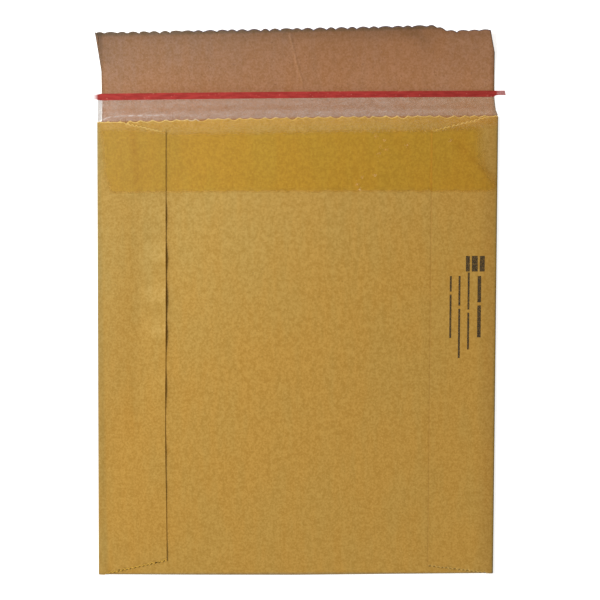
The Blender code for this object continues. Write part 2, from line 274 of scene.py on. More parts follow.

# Air bubbles under the film: their height and radius, how strongly a white glint is painted on them
# and how far out, and their places
BUBBLE_HEIGHT = 0.12
BUBBLE_RADIUS = 0.8
BUBBLE_GLINT = 0.85
BUBBLE_GLINT_RADIUS = 0.75
BUBBLES = (
    (47.5, 126.2), (52.3, 123.8), (49.9, 120.2), (53.5, 118.4), (49.3, 116.0), (39.2, 101.7),
    (36.2, 97.5), (38.0, 94.5), (92.0, 123.7), (17.6, 131.2), (47.0, 103.0), (66.0, 121.0),
)

# Where the rows of creases, smears and painted shade hold their height, and how strongly they are
# painted
HEIGHT = 2
SEEN = -1


def linear(red, green, blue):
    """A screen colour, from 0 to 255, as linear red, green and blue."""
    return tuple(
        value / 255.0 / 12.92 if value <= 10 else ((value / 255.0 + 0.055) / 1.055) ** 2.4
        for value in (red, green, blue)
    )


class SideFlap:
    """The sizes of one side flap. side is -1 for the left flap and 1 for the right one."""

    def __init__(self, side, width, knee, tip_drop, heel_rise):
        self.side = side
        self.width = width
        self.free_edge = HALF_BODY - width
        self.knee_x = HALF_BODY - knee[0]
        self.knee_y = mouth_line(side * self.knee_x) - knee[1]
        self.tip_y = mouth_line(side * self.free_edge) - tip_drop
        self.heel_y = -MOUTH + heel_rise


def mouth_line(x):
    """The height of the mouth edge at x, without its teeth."""
    return MOUTH + MOUTH_RISE * x / BODY_WIDTH


def clamp(value):
    """A value held between 0 and 1."""
    return min(1.0, max(0.0, value))


def smooth(value):
    """A soft step from 0 to 1."""
    value = clamp(value)
    return value * value * (3.0 - 2.0 * value)


def bell(value):
    """A soft hump, 1 at 0 and almost 0 at 2."""
    return math.exp(-value * value)


def drift(x, y, size, seed):
    """Soft random height from about -0.5 to 0.5, which changes over this many millimetres."""
    return 0.7 * noise.noise(Vector((x / size, y / size, seed)))


LEFT_FLAP = SideFlap(-1, width=42.0, knee=(17.0, 1.2), tip_drop=7.4, heel_rise=8.6)
RIGHT_FLAP = SideFlap(1, width=39.6, knee=(8.5, 1.2), tip_drop=8.8, heel_rise=4.8)


# Outlines on the flat sheet


def unfolded(x):
    """Where a point of a side flap, seen at x after folding, lies on the flat blank."""
    return 2.0 * SIDE_CREASE + SIDE_BEND - x


def flat_back(y):
    """Where a point of the back panel, seen at height y after folding, lies on the flat blank."""
    return BOTTOM_CREASE - BOTTOM_BEND - (y - BOTTOM_CREASE)


def cut_edge(start, end, pitch, depth, tooth, uneven, seed):
    """Points from start to end along a toothed cut, without the last one.

    The sheet lies on the left of the way from start to end. uneven is how much the depth and
    the width of one tooth may differ from the next.
    """
    dice = random.Random(seed)
    start = Vector(start)
    along = Vector(end) - start
    count = max(1, round(along.length / pitch))
    outward = Vector((along.y, -along.x)).normalized()
    loose = WIDTH_UNEVEN * uneven
    ends = [index + loose * dice.uniform(-1.0, 1.0) for index in range(count + 1)]
    ends[0] = 0.0
    ends[-1] = count
    points = []
    for low, high in zip(ends, ends[1:]):
        deep = depth * (1.0 + uneven * dice.uniform(-1.0, 1.0))
        for step in range(TOOTH_STEPS):
            part = (low + (high - low) * step / TOOTH_STEPS) / count
            points.append(start + along * part + outward * deep * tooth(step / TOOTH_STEPS))
    return points


def round_tooth(phase):
    """A row of round tops with a sharp notch between them."""
    return abs(math.sin(math.pi * phase)) - 1.0


def pointed_tooth(phase):
    """The other side of the same cut: pointed tips with a round hollow between them."""
    return -abs(math.sin(math.pi * phase))


def fine_tooth(phase):
    """A fine triangular tooth."""
    return abs((phase % 1.0) * 2.0 - 1.0) - 1.0


def flap_free_edge():
    """The closure flap's outer edge, from its right corner to its left one."""
    right = FLAP_RIGHT - RIGHT_TAPER
    left = -FLAP_LEFT - LEFT_FLARE
    ends = (right, FLAP_END), (left, FLAP_END)
    depth = FREE_TOOTH_SHARE * TOOTH_DEPTH
    points = cut_edge(*ends, TOOTH_PITCH, depth, round_tooth, FREE_UNEVEN, 3)
    points.append(Vector((left, FLAP_END)))
    for point in points:
        dip = smooth((point.x - right + CORNER_DIP_START) / CORNER_DIP_LENGTH)
        point.y += FLAP_EDGE_RISE * point.x / BODY_WIDTH - FLAP_EDGE_DROP - CORNER_DIP * dip
    return points


def side_flap_outline(flap):
    """A side flap's edge on the flat blank, counterclockwise."""
    knee = Vector((unfolded(flap.knee_x), flap.knee_y))
    tip = Vector((unfolded(flap.free_edge), flap.tip_y))
    heel = Vector((unfolded(flap.free_edge), flap.heel_y))
    root = Vector((SIDE_CREASE, mouth_line(flap.side * SIDE_CREASE) - CREASE_RELIEF))
    foot = Vector((SIDE_CREASE + FOOT_SLIT, -MOUTH + 0.1))
    ankle = Vector((SIDE_CREASE + SIDE_BEND + FINE_PITCH, foot.y))
    points = [foot]
    points += cut_edge(ankle, heel, FINE_PITCH, FINE_DEPTH, fine_tooth, FINE_UNEVEN, 5)
    points.append(heel)
    points += cut_edge(tip, knee, FINE_PITCH, FINE_DEPTH, fine_tooth, FINE_UNEVEN, 6)
    points += [knee, root]
    if flap.side > 0:
        return points
    return [Vector((-point.x, point.y)) for point in reversed(points)]


def far_edge():
    """The back panel's toothed edge on the flat blank, from left to right."""
    left = (-SIDE_CREASE, flat_back(mouth_line(-SIDE_CREASE)))
    right = (SIDE_CREASE, flat_back(mouth_line(SIDE_CREASE)))
    depth = FAR_TOOTH_SHARE * TOOTH_DEPTH
    points = cut_edge(left, right, TOOTH_PITCH, depth, pointed_tooth, FAR_UNEVEN, 4)
    return points + [Vector(right)]


def blank_outline():
    """The whole blank, drawn flat, counterclockwise from the closure flap's right corner."""
    return [
        *flap_free_edge(),
        (-FLAP_LEFT, FLAP_END - LEFT_FLARE_LENGTH),
        (-FLAP_LEFT, mouth_line(-FLAP_LEFT)),
        *side_flap_outline(LEFT_FLAP),
        (-SIDE_CREASE, BOTTOM_CREASE),
        *far_edge(),
        (SIDE_CREASE, BOTTOM_CREASE),
        *side_flap_outline(RIGHT_FLAP),
        (FLAP_ROOT_RIGHT, mouth_line(FLAP_RIGHT) + 0.2),
        (FLAP_RIGHT, MOUTH + FLAP_ROOT_LENGTH),
        (FLAP_RIGHT, FLAP_END - RIGHT_TAPER_LENGTH),
    ]


# The folded shape


def bow(x, y):
    """How far the back panel stands above its flat place, with the board's own slight waves."""
    across = math.cos(math.pi / 2.0 * min(1.0, abs(x) / SIDE_CREASE))
    along = clamp((y - BOTTOM_CREASE) / (MOUTH - BOTTOM_CREASE))
    lift = GAPE * across * (1.0 - (1.0 - along) ** 2)
    loose = smooth((SIDE_CREASE - abs(x)) / 20.0) * smooth((y - BOTTOM_CREASE) / 30.0)
    broad = BROAD_WAVE[0] * drift(x, y, BROAD_WAVE[1], 2.0)
    return lift + loose * (broad + SMALL_WAVE[0] * drift(x, y, SMALL_WAVE[1], 5.0))


def line_distance(x, y, line):
    """How far a point is from a line of points, in the sheet's plane."""
    point = Vector((x, y))
    nearest = 1e9
    for start, end in zip(line, line[1:]):
        start = Vector(start)
        along = Vector(end) - start
        part = clamp((point - start).dot(along) / along.length_squared)
        nearest = min(nearest, (point - start - along * part).length)
    return nearest


def traced(x, y, rows, column):
    """How much of a column of these creases or smears reaches a point."""
    return sum(row[column] * bell(line_distance(x, y, row[0]) / row[1]) for row in rows)


def wave_height(y):
    """How high the left flap's free edge waves at this height."""
    return sum(lift * bell((y - place) / half) for place, lift, half in WAVES)


def margin_reach(x):
    """0 at the left flap's free edge, and 1 where its glue begins."""
    return (-x - LEFT_FLAP.free_edge) / (LEFT_FLAP.width - GLUED_WIDTH)


def margin_lift(x, y):
    """How far the left flap's loose margin stands above its glued place."""
    reach = margin_reach(x)
    if reach >= 1.0:
        return 0.0
    held = smooth((BAND_BOTTOM + 3.0 - y) / 13.0)
    return (held * wave_height(y) - WAVE_PRESS) * (1.0 - reach) ** WAVE_RUN


def painted_margin_highlight(x, y):
    """How strongly a highlight is painted on the left flap's loose margin, where its waves face the
    lamp, and along its free edge, from 0 to 1.
    """
    reach = margin_reach(x)
    if not -0.05 < reach < 1.0 or y > BAND_BOTTOM:
        return 0.0
    high = smooth((wave_height(y - CREST_SHIFT) - 0.5) / 0.9)
    broad = 0.65 * high * min(1.0, 1.6 * (1.0 - reach))
    return min(1.0, broad + (0.15 + 0.35 * high) * bell(reach / 0.045))


def flap_lift(x, y):
    """The closure flap's curl and creases, above the surface that the mailer lies on."""
    run = (y - MOUTH) / FLAP_LENGTH
    if run <= 0.0:
        return 0.0
    free = smooth((run - 0.15) / 0.5)
    start = MOUTH + FLAP_CURL_START
    curl = FLAP_CURL * max(0.0, (y - start) / (FLAP_END - start)) ** 2
    curl += END_CURL * max(0.0, y - FLAP_END + END_CURL_RUN) ** 2
    left = LEFT_CORNER_LIFT * bell((x + FLAP_LEFT + 3.0) / 13.0) * smooth((run - 0.3) / 0.7)
    right = RIGHT_CORNER_LIFT * bell((x - FLAP_RIGHT) / 10.0) * smooth((run - 0.45) / 0.5)
    waves = 0.5 + drift(x, y, 30.0, 9.0) + 0.35 * drift(x, y, 11.0, 12.0)
    folds = traced(x, y, FLAP_CREASES, HEIGHT)
    return free * CLOSURE_WAVE * max(0.0, waves) + curl + left + right + folds


def fold_side(u, y):
    """The middle of the board at a point of a side flap, from the flat blank's place."""
    side = math.copysign(1.0, u)
    run = abs(u) - SIDE_CREASE
    if run < SIDE_BEND:
        angle = run / SIDE_RADIUS
        x = side * (SIDE_CREASE + SIDE_RADIUS * math.sin(angle))
        return x, y, SIDE_RADIUS * (1.0 - math.cos(angle))
    x = side * (SIDE_CREASE + SIDE_BEND - run)
    lift = 0.0
    if side < 0:
        line, half, height = RIDGE
        ridge = height * bell((x - line) / half) * smooth((y + MOUTH - 12.0) / 15.0)
        lift = margin_lift(x, y) + ridge * (0.8 + drift(x, y, 25.0, 4.0))
    return x, y, FLAP_LEVEL + bow(x, y) + lift


def fold_bottom(x, v):
    """The middle of the board in the bottom fold or the back panel."""
    run = BOTTOM_CREASE - v
    if run < BOTTOM_BEND:
        angle = run / BOTTOM_RADIUS
        y = BOTTOM_CREASE - BOTTOM_RADIUS * math.sin(angle)
        return x, y, BOTTOM_RADIUS * (1.0 - math.cos(angle))
    y = BOTTOM_CREASE + run - BOTTOM_BEND
    return x, y, BACK_LEVEL + bow(x, y)


def fold_blank(u, v):
    """The middle of the folded board at a point of the flat blank."""
    if v < BOTTOM_CREASE and abs(u) < SIDE_CREASE + FOOT_SLIT / 2.0:
        x, y, z = fold_bottom(u, v)
    elif abs(u) > SIDE_CREASE and v < mouth_line(u):
        x, y, z = fold_side(u, v)
    else:
        x, y, z = u, v, flap_lift(u, v)
    return x, y, z + BOARD / 2.0


def upper_edge(flap, x):
    """The height of a side flap's upper edge at a distance x from the middle."""
    slope = (flap.knee_y - flap.tip_y) / (flap.knee_x - flap.free_edge)
    return flap.tip_y + slope * (x - flap.free_edge)


def flap_cover(x, y):
    """1 where a layer lies on a side flap, 0 where it lies on the back panel."""
    flap = RIGHT_FLAP if x > 0 else LEFT_FLAP
    margin, ramp = FREE_STEP
    across = smooth((abs(x) - flap.free_edge + margin + ramp) / ramp)
    margin, ramp = UPPER_STEP
    return across * smooth((upper_edge(flap, abs(x)) - y + margin + ramp) / ramp)


def layer_height(level, x, y):
    """The underside of a thin layer that lies over the mouth end of the folded board."""
    held = level + bow(x, min(y, MOUTH)) + (BOARD + SEAM_GAP) * flap_cover(x, y)
    fallen = level - FILM_LEVEL + BOARD + LAYER_GAP + FILM_HANG * bow(x, MOUTH)
    down = smooth((y - mouth_line(x) - FILM_FALL_START) / FILM_FALL)
    return held + (fallen - held) * down


def line_at(line, x):
    """The height of a line of points at x."""
    for (low, low_y), (high, high_y) in zip(line, line[1:]):
        if x <= high:
            break
    return low_y + (high_y - low_y) * (x - low) / (high - low)


def gap_shade(x, y):
    """How dark the shadow is painted in the gap beside the left flap's loose margin, over the real
    shadow of its lifted edge, from 0 to 1.
    """
    away = x + LEFT_FLAP.free_edge
    if not -1.0 < away < 4.5 or not LEFT_FLAP.heel_y < y < BAND_BOTTOM + 3.0:
        return 0.0
    wave = wave_height(y)
    core = smooth(1.2 - away / (0.35 + 0.6 * wave)) * (0.05 + 0.75 * smooth(wave / 0.7))
    return max(core, 0.22 * smooth(1.0 - away / 4.4) * smooth(wave / 0.6))


def rub(x, y):
    """How strongly a highlight is painted along the closure flap's creases, from 0 to 1."""
    if y < MOUTH:
        return 0.0
    return traced(x, y, FLAP_CREASES, SEEN)


def smear_and_shade(x, y):
    """How dark the board is smeared, or painted with shade at the closure flap's fold and curled
    corner, from 0 to 1.
    """
    return traced(x, y, SMEARS_AND_SHADE, SEEN) * (0.8 + drift(x, y, 3.0, 21.0))


def out_of_square(x, y):
    """How far a point of the mailer moves, because it was folded a little out of square."""
    part = 0.5 + x / BODY_WIDTH
    flat = smooth((MOUTH + 6.0 - y) / 4.5)
    low = clamp((LOW_START - y) / (MOUTH + LOW_START))
    high = flat * clamp((y - HIGH_START) / (MOUTH - HIGH_START))
    rise = high * line_at(MOUTH_SHIFT, x) - low * line_at(BOTTOM_DROP, x)
    height, half_length, half_width, depth = FREE_EDGE_BEND
    bend = bell((x + LEFT_FLAP.free_edge) / half_width) * bell((y - height) / half_length)
    return Vector((LEAN * part * flat * y / MOUTH - depth * bend, rise, 0.0))


# Making the meshes


def sheet_from(outline):
    """A flat sheet with this outline, as one face that looks up."""
    sheet = bmesh.new()
    face = sheet.faces.new([sheet.verts.new((*point, 0.0)) for point in outline])
    face.normal_update()
    if face.normal.z < 0.0:
        face.normal_flip()
    return sheet


def crease(sheet, places, normal, where=None):
    """Splits the sheet along a line at each place. where picks the faces by their middle."""
    for place in places:
        if where is None:
            geometry = [*sheet.verts, *sheet.edges, *sheet.faces]
        else:
            faces = [face for face in sheet.faces if where(face.calc_center_bounds())]
            edges = {edge for face in faces for edge in face.edges}
            corners = {corner for face in faces for corner in face.verts}
            geometry = [*corners, *edges, *faces]
        spot = [place * part for part in normal]
        bmesh.ops.bisect_plane(sheet, geom=geometry, dist=SNAP, plane_co=spot, plane_no=normal)


def spread(low, high, step):
    """Evenly spaced places strictly between low and high, about a step apart."""
    count = max(1, round((high - low) / step))
    return [low + (high - low) * index / count for index in range(1, count)]


def crease_blank(sheet):
    """The folds of the blank, and the lines that let its panels bow and wave."""

    def on_panels(middle):
        return abs(middle.x) < SIDE_CREASE

    def on_back(middle):
        return middle.y < BOTTOM_CREASE - BOTTOM_BEND

    def on_closure(middle):
        return middle.y > MOUTH and abs(middle.x) < SIDE_CREASE

    def on_sides(middle):
        return abs(middle.x) > SIDE_CREASE and middle.y < MOUTH + MOUTH_RISE

    def on_left(middle):
        return middle.x < -SIDE_CREASE - SIDE_BEND

    def on_right(middle):
        return middle.x > SIDE_CREASE + SIDE_BEND

    def near_fold_line(middle):
        return abs(middle.x) < 9.0 and middle.y > MOUTH + 12.0

    column = (1.0, 0.0, 0.0)
    row = (0.0, 1.0, 0.0)
    for step in range(FOLD_STEPS + 1):
        u = SIDE_CREASE + SIDE_BEND * step / FOLD_STEPS
        crease(sheet, (u, -u), column)
        crease(sheet, [BOTTOM_CREASE - BOTTOM_BEND * step / FOLD_STEPS], row)
    crease(sheet, spread(-SIDE_CREASE, SIDE_CREASE, COLUMN), column, on_panels)
    for flap, on_flap in ((LEFT_FLAP, on_left), (RIGHT_FLAP, on_right)):
        places = spread(GLUE_LINE, SIDE_CREASE, COLUMN)
        places += [GLUE_LINE, *spread(flap.free_edge, GLUE_LINE, MARGIN_COLUMN)]
        places += [flap.free_edge + away for away in EDGE_COLUMNS]
        crease(sheet, [flap.side * unfolded(x) for x in places], column, on_flap)
    crease(sheet, spread(BOTTOM_CREASE, MOUTH, FRONT_ROW), row)
    crease(sheet, spread(BOTTOM_CREASE, MOUTH, SIDE_ROW), row, on_sides)
    crease(sheet, spread(flat_back(MOUTH), flat_back(BOTTOM_CREASE), BACK_ROW), row, on_back)
    crease(sheet, [away - LEFT_FLAP.free_edge for away in GAP_COLUMNS], column, on_back)
    crease(sheet, (MOUTH, *spread(MOUTH, FLAP_END, FLAP_ROW)), row, on_closure)
    crease(sheet, spread(-SIDE_CREASE, SIDE_CREASE, COLUMN / 2.0)[::2], column, on_closure)
    crease(sheet, spread(-8.0, 8.0, 0.5), column, near_fold_line)


def finish_mesh(name, mesh):
    """Adds a mesh to the scene as a piece that rides on the mailer."""
    for corner in mesh.vertices:
        corner.co += out_of_square(corner.co.x / MM, corner.co.y / MM) * MM
    mesh.update()
    mesh.shade_smooth()
    mesh.set_sharp_from_angle(angle=math.radians(SHARP_ANGLE))
    piece = bpy.data.objects.new(name, mesh)
    bpy.context.scene.collection.objects.link(piece)
    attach(piece, "root")
    return piece


def set_mark(mesh, name, values):
    """Gives each point of a mesh a value that its materials read."""
    mesh.attributes.new(name, "FLOAT", "POINT").data.foreach_set("value", values)


def thick_board(name, sheet, place, materials):
    """The closed mesh of a folded sheet, with a slightly worn cut edge.

    place gives the folded middle of the sheet. materials are those of the inner face, of the
    outer face, and of the cut edge beside each of them.
    """
    sheet.verts.index_update()
    flat = [corner.co.xy for corner in sheet.verts]
    inward = [Vector((0.0, 0.0)) for corner in flat]
    clean = {flap.side: unfolded(flap.free_edge) - CLEAN_RUN for flap in (LEFT_FLAP, RIGHT_FLAP)}
    room = []
    for corner in sheet.verts:
        inner_edges = [edge.calc_length() for edge in corner.link_edges if len(edge.link_faces) > 1]
        side = -1 if corner.co.x < 0.0 else 1
        most = CLEAN_EDGE_INWARD if abs(corner.co.x) > clean[side] else EDGE_INWARD
        room.append(min([most, *(EDGE_SHARE * length for length in inner_edges)]))
    rim = []
    for edge in sheet.edges:
        if len(edge.link_faces) == 1:
            loop = edge.link_loops[0]
            ends = loop.vert.index, loop.link_loop_next.vert.index
            along = (flat[ends[1]] - flat[ends[0]]).normalized()
            for end in ends:
                inward[end] += Vector((-along.y, along.x))
            rim.append(ends)
    for corner in sheet.verts:
        corner.co = Vector(place(*flat[corner.index]))
    sheet.normal_update()
    inner = []
    outer = []
    ring = {}
    for corner in sheet.verts:
        spot = flat[corner.index]
        point = corner.co
        if inward[corner.index].length > 0.0:
            across = inward[corner.index].normalized()
            point = Vector(place(*(spot + across * room[corner.index])))
            ring[corner.index] = Vector(place(*(spot - across * EDGE_OUTWARD)))
        inner.append(point + corner.normal * (BOARD / 2.0))
        outer.append(point - corner.normal * (BOARD / 2.0))
    count = len(flat)
    at_ring = {corner: 2 * count + index for index, corner in enumerate(ring)}
    faces = []
    sides = []
    for face in sheet.faces:
        corners = [corner.index for corner in face.verts]
        faces += [corners, [count + corner for corner in reversed(corners)]]
        sides += [0, 1]
    for here, there in rim:
        faces.append([there, here, at_ring[here], at_ring[there]])
        faces.append([count + here, count + there, at_ring[there], at_ring[here]])
        sides += [2, 3]
    sheet.free()
    mesh = bpy.data.meshes.new(name)
    points = [point * MM for point in (*inner, *outer, *ring.values())]
    mesh.from_pydata(points, [], faces)
    for material in materials:
        mesh.materials.append(material)
    mesh.polygons.foreach_set("material_index", sides)
    flap_start = MOUTH + MOUTH_RISE
    spots = [point / MM for point in points]
    seen = [spot.z > BACK_LEVEL or spot.y > flap_start for spot in spots]
    seam = FLAP_LEVEL - SEAM_GAP / 2.0
    on_back = [top and spot.z < seam + bow(spot.x, spot.y) for spot, top in zip(spots, seen)]
    on_flap = [top and not back for top, back in zip(seen, on_back)]
    # Marks of smears and painted shade, the painted shadow in the left flap's gap, and painted
    # highlights on its loose margin and on the closure flap's creases
    for mark, value, where in (
        ("smear_and_shade", smear_and_shade, seen),
        ("gap", gap_shade, on_back),
        ("painted_margin_highlight", painted_margin_highlight, on_flap),
        ("rub", rub, seen),
    ):
        values = [value(spot.x, spot.y) if here else 0.0 for spot, here in zip(spots, where)]
        set_mark(mesh, mark, values)
    mesh.update()
    return mesh


def slab(name, columns, rows, place, thickness, materials, marks=None):
    """A closed thin mesh over a grid of places, as a piece that rides on the mailer.

    It lies against the board and lets light through, so it casts no shadow of its own.
    place gives a point of the underside from a column and a row. materials are those of the
    top, the underside and the edge. marks names values that the materials read, each with a
    function of the point.
    """
    wide = len(columns)
    tall = len(rows)
    under = [Vector(place(column, row)) for row in rows for column in columns]
    rise = Vector((0.0, 0.0, thickness))
    points = [point * MM for point in under] + [(point + rise) * MM for point in under]
    top = wide * tall

    def at(column, row, level):
        return level * top + row * wide + column

    faces = []
    sides = []
    for row in range(tall - 1):
        for column in range(wide - 1):
            near = (column, row), (column + 1, row), (column + 1, row + 1), (column, row + 1)
            faces.append([at(*corner, 1) for corner in near])
            faces.append([at(*corner, 0) for corner in reversed(near)])
            sides += [0, 1]
    rim = [(column, 0) for column in range(wide)]
    rim += [(wide - 1, row) for row in range(1, tall)]
    rim += [(column, tall - 1) for column in range(wide - 2, -1, -1)]
    rim += [(0, row) for row in range(tall - 2, 0, -1)]
    for here, there in zip(rim, rim[1:] + rim[:1]):
        faces.append([at(*here, 0), at(*there, 0), at(*there, 1), at(*here, 1)])
        sides.append(2)
    mesh = bpy.data.meshes.new(name)
    mesh.from_pydata(points, [], faces)
    for mark, value in (marks or {}).items():
        set_mark(mesh, mark, [value(point.x, point.y) for point in under] * 2)
    for material in materials:
        mesh.materials.append(material)
    mesh.polygons.foreach_set("material_index", sides)
    mesh.update()
    piece = finish_mesh(name, mesh)
    piece.visible_shadow = False
    return piece


# Making the materials


class Recipe:
    """One material and the nodes that it is made of."""

    def __init__(self, name):
        self.material = bpy.data.materials.new(name)
        self.material.use_nodes = True
        self.nodes = self.material.node_tree.nodes
        self.links = self.material.node_tree.links
        self.surface = self.nodes["Principled BSDF"]
        self.place = self.nodes.new("ShaderNodeTexCoord").outputs["Object"]

    def add(self, kind, values, **settings):
        """A new node. values go to its inputs, as sockets to join or as plain values."""
        node = self.nodes.new(kind)
        for key, value in settings.items():
            setattr(node, key, value)
        for key, value in values.items():
            self.put(node.inputs[key], value)
        return node

    def put(self, socket, value):
        """Joins a socket to another one, or sets it."""
        if isinstance(value, bpy.types.NodeSocket):
            self.links.new(value, socket)
        elif isinstance(value, tuple) and len(value) == 3 and socket.type == "RGBA":
            socket.default_value = (*value, 1.0)
        else:
            socket.default_value = value

    def surfaced(self, values):
        """Sets or joins inputs of the surface, and gives the material."""
        for key, value in values.items():
            self.put(self.surface.inputs[key], value)
        return self.material

    def grain(self, size, stretch, detail, shift, rough=0.5):
        """Random spots of about this size in millimetres, from 0 to 1."""
        scale = 1.0 / (size * MM)
        spread_out = self.add(
            "ShaderNodeMapping",
            {
                "Vector": self.place,
                "Location": (shift, shift * 0.7, shift * 1.3),
                "Scale": (scale / stretch[0], scale / stretch[1], scale * 0.1),
            },
        )
        spots = self.add(
            "ShaderNodeTexNoise",
            {"Vector": spread_out.outputs[0], "Scale": 1.0, "Detail": detail, "Roughness": rough},
        )
        return spots.outputs[0]

    def step(self, value, low, high, bottom=0.0, top=1.0):
        """A soft step of a value, from bottom at low to top at high."""
        return self.add(
            "ShaderNodeMapRange",
            {"Value": value, "From Min": low, "From Max": high, "To Min": bottom, "To Max": top},
            interpolation_type="SMOOTHSTEP",
        ).outputs[0]

    def math(self, operation, *values):
        """The result of a math node on two or three values."""
        inputs = dict(enumerate(values))
        return self.add("ShaderNodeMath", inputs, operation=operation).outputs[0]

    def mix(self, share, first, second, way="MIX"):
        """Two colours, mixed or laid over each other, through the node's colour sockets."""
        inputs = {0: share, 6: first, 7: second}
        return self.add("ShaderNodeMix", inputs, data_type="RGBA", blend_type=way).outputs[2]

    def multiply(self, first, second):
        """Two colours, one multiplied by the other."""
        return self.mix(1.0, first, second, "MULTIPLY")

    def wash(self, colour, direction, low, high, tint):
        """A colour, multiplied by a tint past a line across the mailer, in millimetres."""
        inputs = {0: self.place, 1: (*direction, 0.0)}
        along = self.add("ShaderNodeVectorMath", inputs, operation="DOT_PRODUCT")
        share = self.step(along.outputs["Value"], low * MM, high * MM)
        return self.mix(share, colour, self.multiply(colour, tint))

    def washes(self, colour, rows):
        """A colour with several washes over it: direction, low, high and tint of each."""
        for row in rows:
            colour = self.wash(colour, *row)
        return colour

    def tinted(self, colour, mark, tint):
        """A colour, multiplied by a tint as far as a mark of the mesh says."""
        over = self.multiply(colour, tint)
        return self.mix(self.mark(mark), colour, over)

    def mark(self, name):
        """A value that the mesh holds at each point."""
        return self.add("ShaderNodeAttribute", {}, attribute_name=name).outputs["Fac"]

    def bump(self, height, depth, strength=1.0):
        """Fine relief of this depth in millimetres."""
        relief = self.add(
            "ShaderNodeBump", {"Height": height, "Distance": depth * MM, "Strength": strength}
        )
        self.links.new(relief.outputs[0], self.surface.inputs["Normal"])


def toned(colour, factor, lift=0.0):
    """A colour made paler or darker."""
    return tuple(min(1.0, channel * factor + lift) for channel in colour)


def paper_colour(paper, body, contrast, seed, rare=0.7):
    """Unbleached kraft paper: soft patches and streaks, fine fibres and dark flecks.

    The flecks are fewer with a higher value of rare.
    """
    patch = paper.grain(30.0, (0.7, 1.6), 2.0, seed)
    streak = paper.grain(8.0, (0.6, 4.0), 2.0, seed + 3.0)
    clump = paper.grain(3.4, (0.9, 1.2), 3.0, seed + 8.0, 0.6)
    speck = paper.grain(1.3, (1.0, 1.1), 2.0, seed + 5.0, 0.7)
    broad = paper.math("MULTIPLY_ADD", patch, 0.6, paper.math("MULTIPLY", streak, 0.4))
    fine = paper.math("MULTIPLY_ADD", speck, 0.62, paper.math("MULTIPLY", clump, 0.38))
    warm = (1.018, 0.988, 0.94)
    cool = (0.988, 1.012, 1.06)
    colour = paper.multiply(body, paper.mix(paper.step(broad, 0.38, 0.62), warm, cool))
    dark = tuple(1.0 - contrast * share for share in (1.0, 1.3, 2.3))
    pale = tuple(1.0 + contrast * share for share in (1.0, 1.3, 2.6))
    colour = paper.multiply(colour, paper.mix(paper.step(fine, 0.36, 0.64), dark, pale))
    fleck = paper.step(paper.grain(1.0, (1.0, 1.2), 1.0, seed + 11.0), rare, rare + 0.08, 0.0, 0.4)
    colour = paper.mix(fleck, colour, toned(body, 0.5))
    straw = paper.step(paper.grain(1.0, (1.0, 1.3), 1.0, seed + 17.0), 0.69, 0.78, 0.0, 0.4)
    colour = paper.mix(straw, colour, toned(body, 1.4, 0.04))
    paper.bump(fine, 0.04, 0.6)
    return colour


def golden_sheen_shade_and_smears(paper, colour, pale):
    """The outer face, with a painted sheen that pales it towards the upper left, where the lamp is,
    and painted shade along its right and bottom folds, which turn away from the lamp. It is also
    slightly darker over the left flap, greyer along the left fold, and darker where the mark of
    smears and painted shade says.
    """
    washes = (
        # Painted sheen, paler towards the upper left, where the lamp is
        ((-0.5, 0.8), -10.0, 125.0, pale),
        ((-0.97, 0.25), 78.0, 108.0, (0.925, 0.93, 0.94)),
        ((-1.0, -0.015), 115.5, 118.5, (0.87, 0.93, 1.05)),
        # Painted shade towards the right fold, which turns away from the lamp
        ((1.0, -0.008), 107.0, 118.0, (0.89, 0.86, 0.85)),
        ((-1.0, 0.0), 119.4, 120.4, (0.84, 0.92, 1.3)),
        # Painted shade on the right fold itself
        ((1.0, -0.008), 118.2, 120.6, (0.74, 0.82, 0.9)),
        ((1.0, -0.008), 119.9, 120.6, (0.64, 0.74, 1.0)),
        # Painted shade along the bottom fold
        ((0.0085, -1.0), 137.2, 138.4, (0.7, 0.8, 1.4)),
    )
    return paper.tinted(paper.washes(colour, washes), "smear_and_shade", (0.85, 0.72, 0.4))


def outer_face(body, contrast):
    """The smooth golden face of the board."""
    paper = Recipe("kraft_outer")
    colour = golden_sheen_shade_and_smears(paper, paper_colour(paper, body, contrast, 1.0), (1.0, 1.11, 1.42))
    # Painted shadow in the gap beside the left flap's loose margin
    colour = paper.tinted(colour, "gap", (0.52, 0.32, 0.0))
    # Painted highlight on the waves of the left flap's loose margin and along its free edge
    colour = paper.tinted(colour, "painted_margin_highlight", (1.14, 1.19, 1.4))
    return paper.surfaced({"Base Color": colour, "Roughness": 0.85, "Specular IOR Level": 0.25})


def inner_face(body, contrast):
    """The browner inner face of the board, with painted shade that darkens and greys it towards the
    closure flap's curled free edge and along its sides.
    """
    paper = Recipe("kraft_inner")
    washes = (
        # Painted shade: darker and greyer towards the closure flap's curled free edge, and along its
        # sides and top edge, which turn away from the lamp
        ((0.0, 1.0), 156.0, 188.0, (0.87, 0.87, 0.87)),
        ((0.0, 1.0), 181.0, 193.0, (0.78, 0.79, 0.8)),
        ((-0.3, 0.95), 153.0, 203.0, (1.0, 1.15, 1.38)),
        ((-1.0, 0.0), 115.8, 118.2, (0.72, 0.76, 0.8)),
        ((1.0, 0.0), 117.6, 119.4, (0.7, 0.72, 0.74)),
        ((-0.017, 1.0), 188.6, 190.8, (0.64, 0.76, 0.8)),
    )
    colour = paper.washes(paper_colour(paper, body, contrast, 31.0, 0.65), washes)
    colour = paper.tinted(colour, "smear_and_shade", (0.7, 0.76, 0.8))
    # Painted highlight along the closure flap's creases
    colour = paper.tinted(colour, "rub", (1.25, 1.3, 1.35))
    return paper.surfaced({"Base Color": colour, "Roughness": 0.9, "Specular IOR Level": 0.2})


